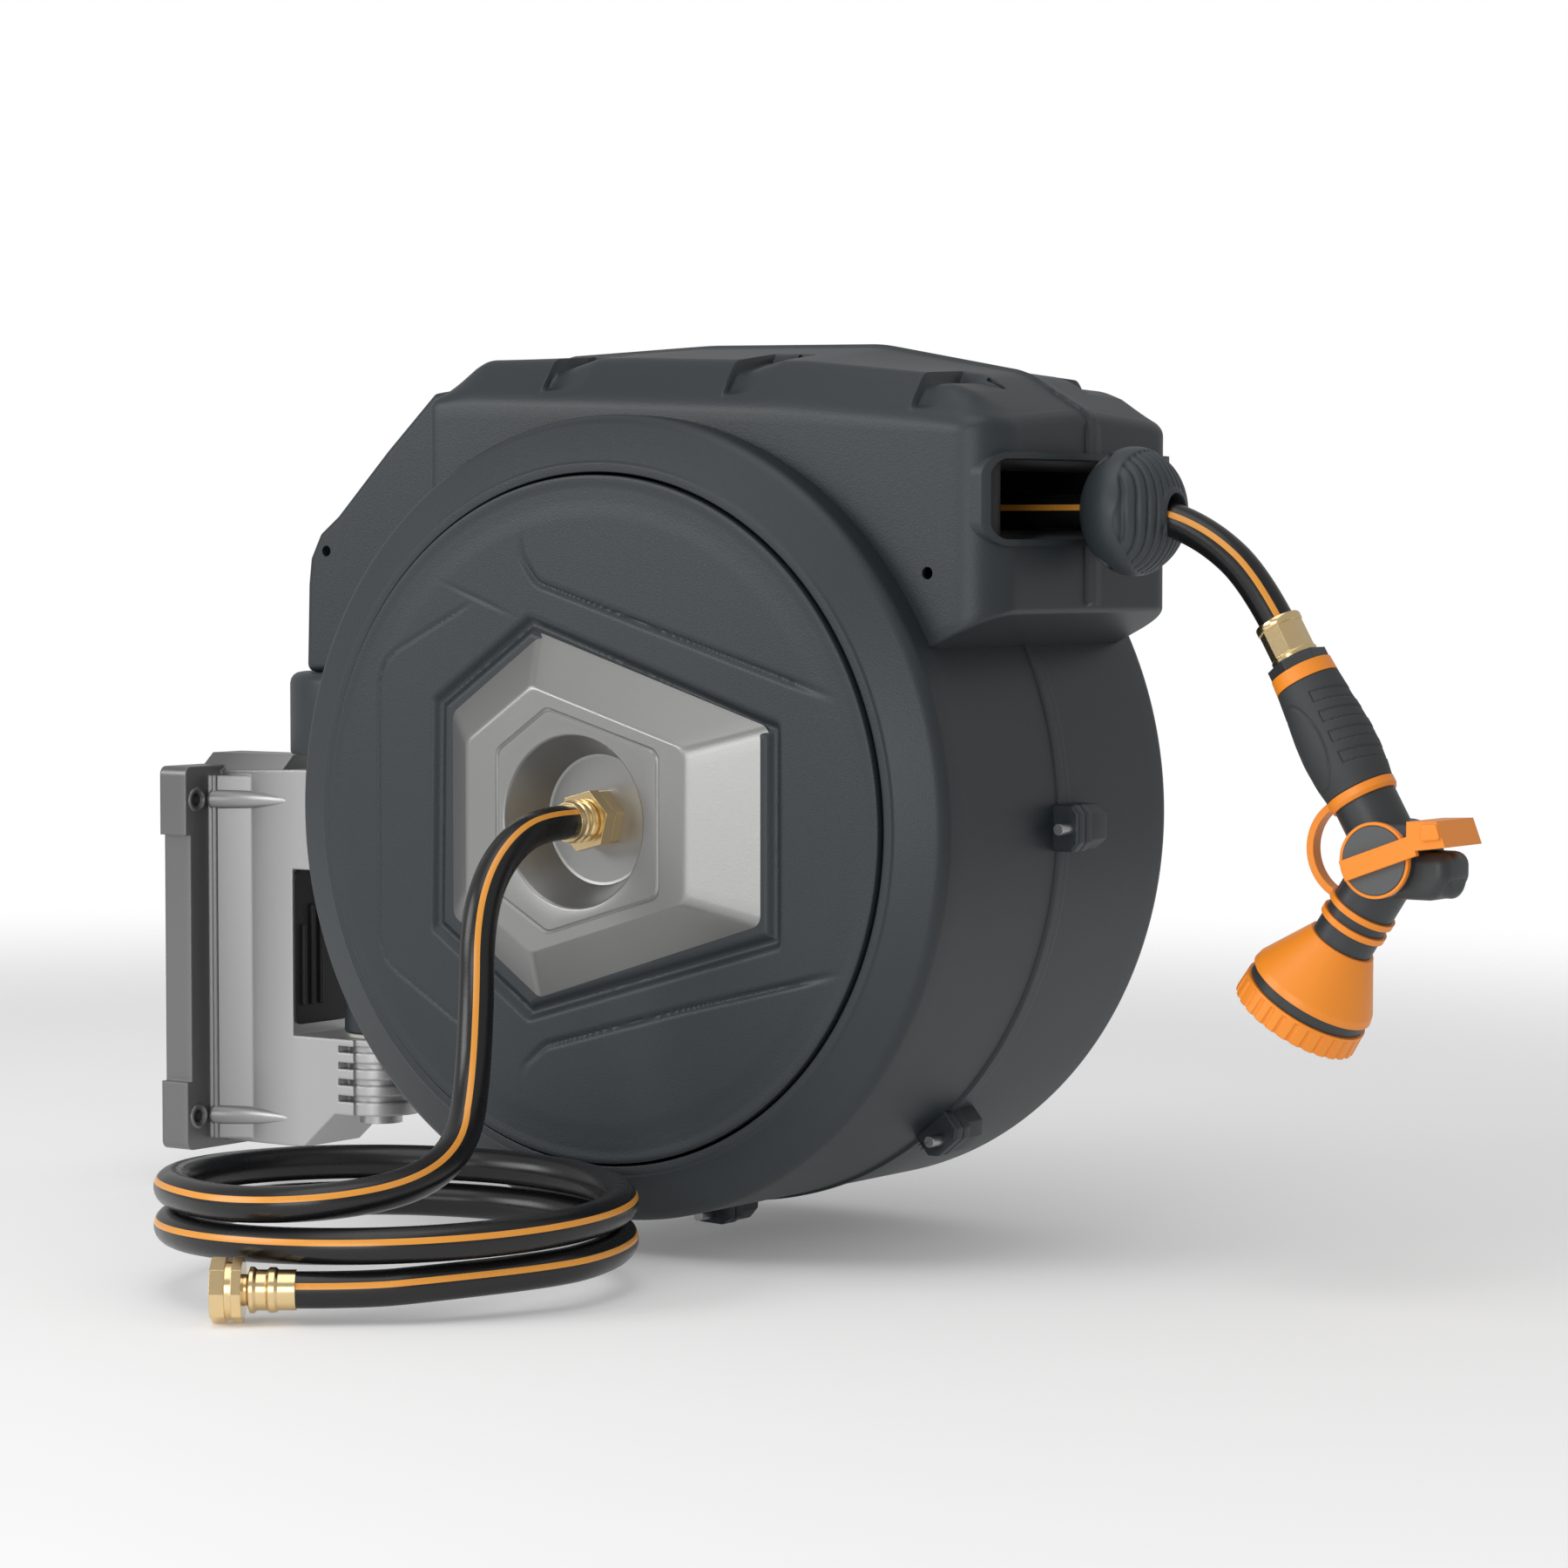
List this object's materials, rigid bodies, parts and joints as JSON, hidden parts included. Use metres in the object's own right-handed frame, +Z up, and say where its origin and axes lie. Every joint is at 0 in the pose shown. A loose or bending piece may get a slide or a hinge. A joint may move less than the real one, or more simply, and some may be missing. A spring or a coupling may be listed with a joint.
{
  "type": "wall-mounted retractable hose reel",
  "caption": "Wall-mounted self-winding hose reel: swivel bracket, round slate case with brass inlet, coiled leader hose, hose stopper and orange spray nozzle.",
  "frame": {"origin": "centre of the four wall bolts, on the wall face of the bracket", "axes": "+X out from the wall towards the hose outlet, +Z up, the water inlet on the -Y side"},
  "size_m": [0.8594, 0.555, 0.509],
  "materials": {
    "bracket": "satin grey powder coat",
    "steel": "bare",
    "case": "fine grained slate grey",
    "boss": "satin mid grey",
    "inner_plastic": "moulded nylon",
    "bush": "acetal",
    "brass": "polished",
    "hose": "glossy black with a thin orange stripe",
    "seal": "plain",
    "spring": "blued strip",
    "stopper": "satin",
    "nozzle_dark": "satin charcoal",
    "grip": "soft matt",
    "orange": "satin orange",
    "lever_disc": "satin"
  },
  "bodies": {
    "bracket": {"wall_bracket": "bracket", "hinge_pin": "steel"},
    "case": {"hinge_bush_upper": "bush", "hinge_bush_lower": "bush", "case_shell_near": "case", "case_shell_far": "case", "case_screws": "steel", "cover_near": "case", "cover_far": "case", "hub_trim": "boss", "shaft_carrier": "inner_plastic", "inlet_shaft": "brass", "inlet_locknut": "brass", "inlet_fitting": "brass", "far_axle": "steel", "spring_arbor": "inner_plastic", "pawl_post": "steel", "pawl_spring": "spring", "mouth_frame": "case", "roller_pins": "steel", "leader_riser": "hose", "leader_coil": "hose", "leader_tail": "hose", "tap_ferrule": "brass", "tap_washer": "seal"},
    "drum": {"drum_half_near": "inner_plastic", "drum_half_far": "inner_plastic", "drum_bush_near": "bush", "drum_bush_far": "bush", "wound_hose": "hose", "drum_elbow": "brass", "shaft_seals": "seal", "ratchet_ring": "inner_plastic", "spring_cup": "steel", "spring_lid": "steel", "main_spring": "spring"},
    "pawl": {"pawl": "steel"},
    "roller_lower": {"roller_lower": "inner_plastic"},
    "roller_upper": {"roller_upper": "inner_plastic"},
    "roller_near": {"roller_near": "inner_plastic"},
    "roller_far": {"roller_far": "inner_plastic"},
    "hose_end": {"outlet_hose": "hose", "stopper_upper": "stopper", "stopper_lower": "stopper", "stopper_bolts": "steel", "outlet_coupling": "brass", "nozzle_collar": "nozzle_dark", "nozzle_grip": "grip", "grip_bands": "orange", "nozzle_body": "nozzle_dark", "valve_ring": "orange", "hang_loop": "orange", "nozzle_head": "orange", "pattern_band": "nozzle_dark"},
    "flow_valve": {"valve_ball": "brass", "lever_disc": "lever_disc", "flow_lever": "orange"},
    "spray_dial": {"nozzle_dial": "orange", "spray_plate": "nozzle_dark"},
    "tap_nut": {"tap_nut": "brass"}
  },
  "joints": [
    {"name": "case_swivel", "type": "hinge", "parent": "bracket", "child": "case", "pos_m": [0.127, 0, 0.05], "axis": [0, 0, 1], "range_deg": [-75, 75]},
    {"name": "hose_pull", "type": "slide", "parent": "case", "child": "hose_end", "axis": [1, 0, 0], "range_m": [0, 0.178]},
    {"name": "drum_spin", "type": "hinge", "parent": "case", "child": "drum", "pos_m": [0.389, 0, 0.102], "axis": [0, 1, 0], "range_deg": [0, 60]},
    {"name": "pawl_click", "type": "hinge", "parent": "case", "child": "pawl", "pos_m": [0.329, -0.095, 0.164], "axis": [0, -1, 0], "range_deg": [0, 6], "stiffness_Nm_per_rad": 0.05},
    {"name": "roller_lower_spin", "type": "hinge", "parent": "case", "child": "roller_lower", "pos_m": [0.595, 0, 0.2545], "axis": [0, 1, 0], "continuous": true},
    {"name": "roller_upper_spin", "type": "hinge", "parent": "case", "child": "roller_upper", "pos_m": [0.595, 0, 0.3015], "axis": [0, 1, 0], "continuous": true},
    {"name": "roller_near_spin", "type": "hinge", "parent": "case", "child": "roller_near", "pos_m": [0.617, -0.08, 0.2783], "axis": [0, 0, 1], "continuous": true},
    {"name": "roller_far_spin", "type": "hinge", "parent": "case", "child": "roller_far", "pos_m": [0.617, 0.08, 0.2783], "axis": [0, 0, 1], "continuous": true},
    {"name": "flow_lever_turn", "type": "hinge", "parent": "hose_end", "child": "flow_valve", "pos_m": [0.8167, 0, 0.0907], "axis": [0, -1, 0], "range_deg": [0, 34]},
    {"name": "spray_dial_turn", "type": "hinge", "parent": "hose_end", "child": "spray_dial", "pos_m": [0.7629, 0, 0.00879], "axis": [-0.549, 0, -0.8358], "continuous": true},
    {"name": "tap_nut_turn", "type": "hinge", "parent": "case", "child": "tap_nut", "pos_m": [0.36813, -0.40647, -0.124], "axis": [-0.8181, -0.575, 0], "continuous": true}
  ],
  "couplings": [
    {"joint": "drum_spin", "follows": "hose_pull", "rad_per_m": 5.882}
  ]
}
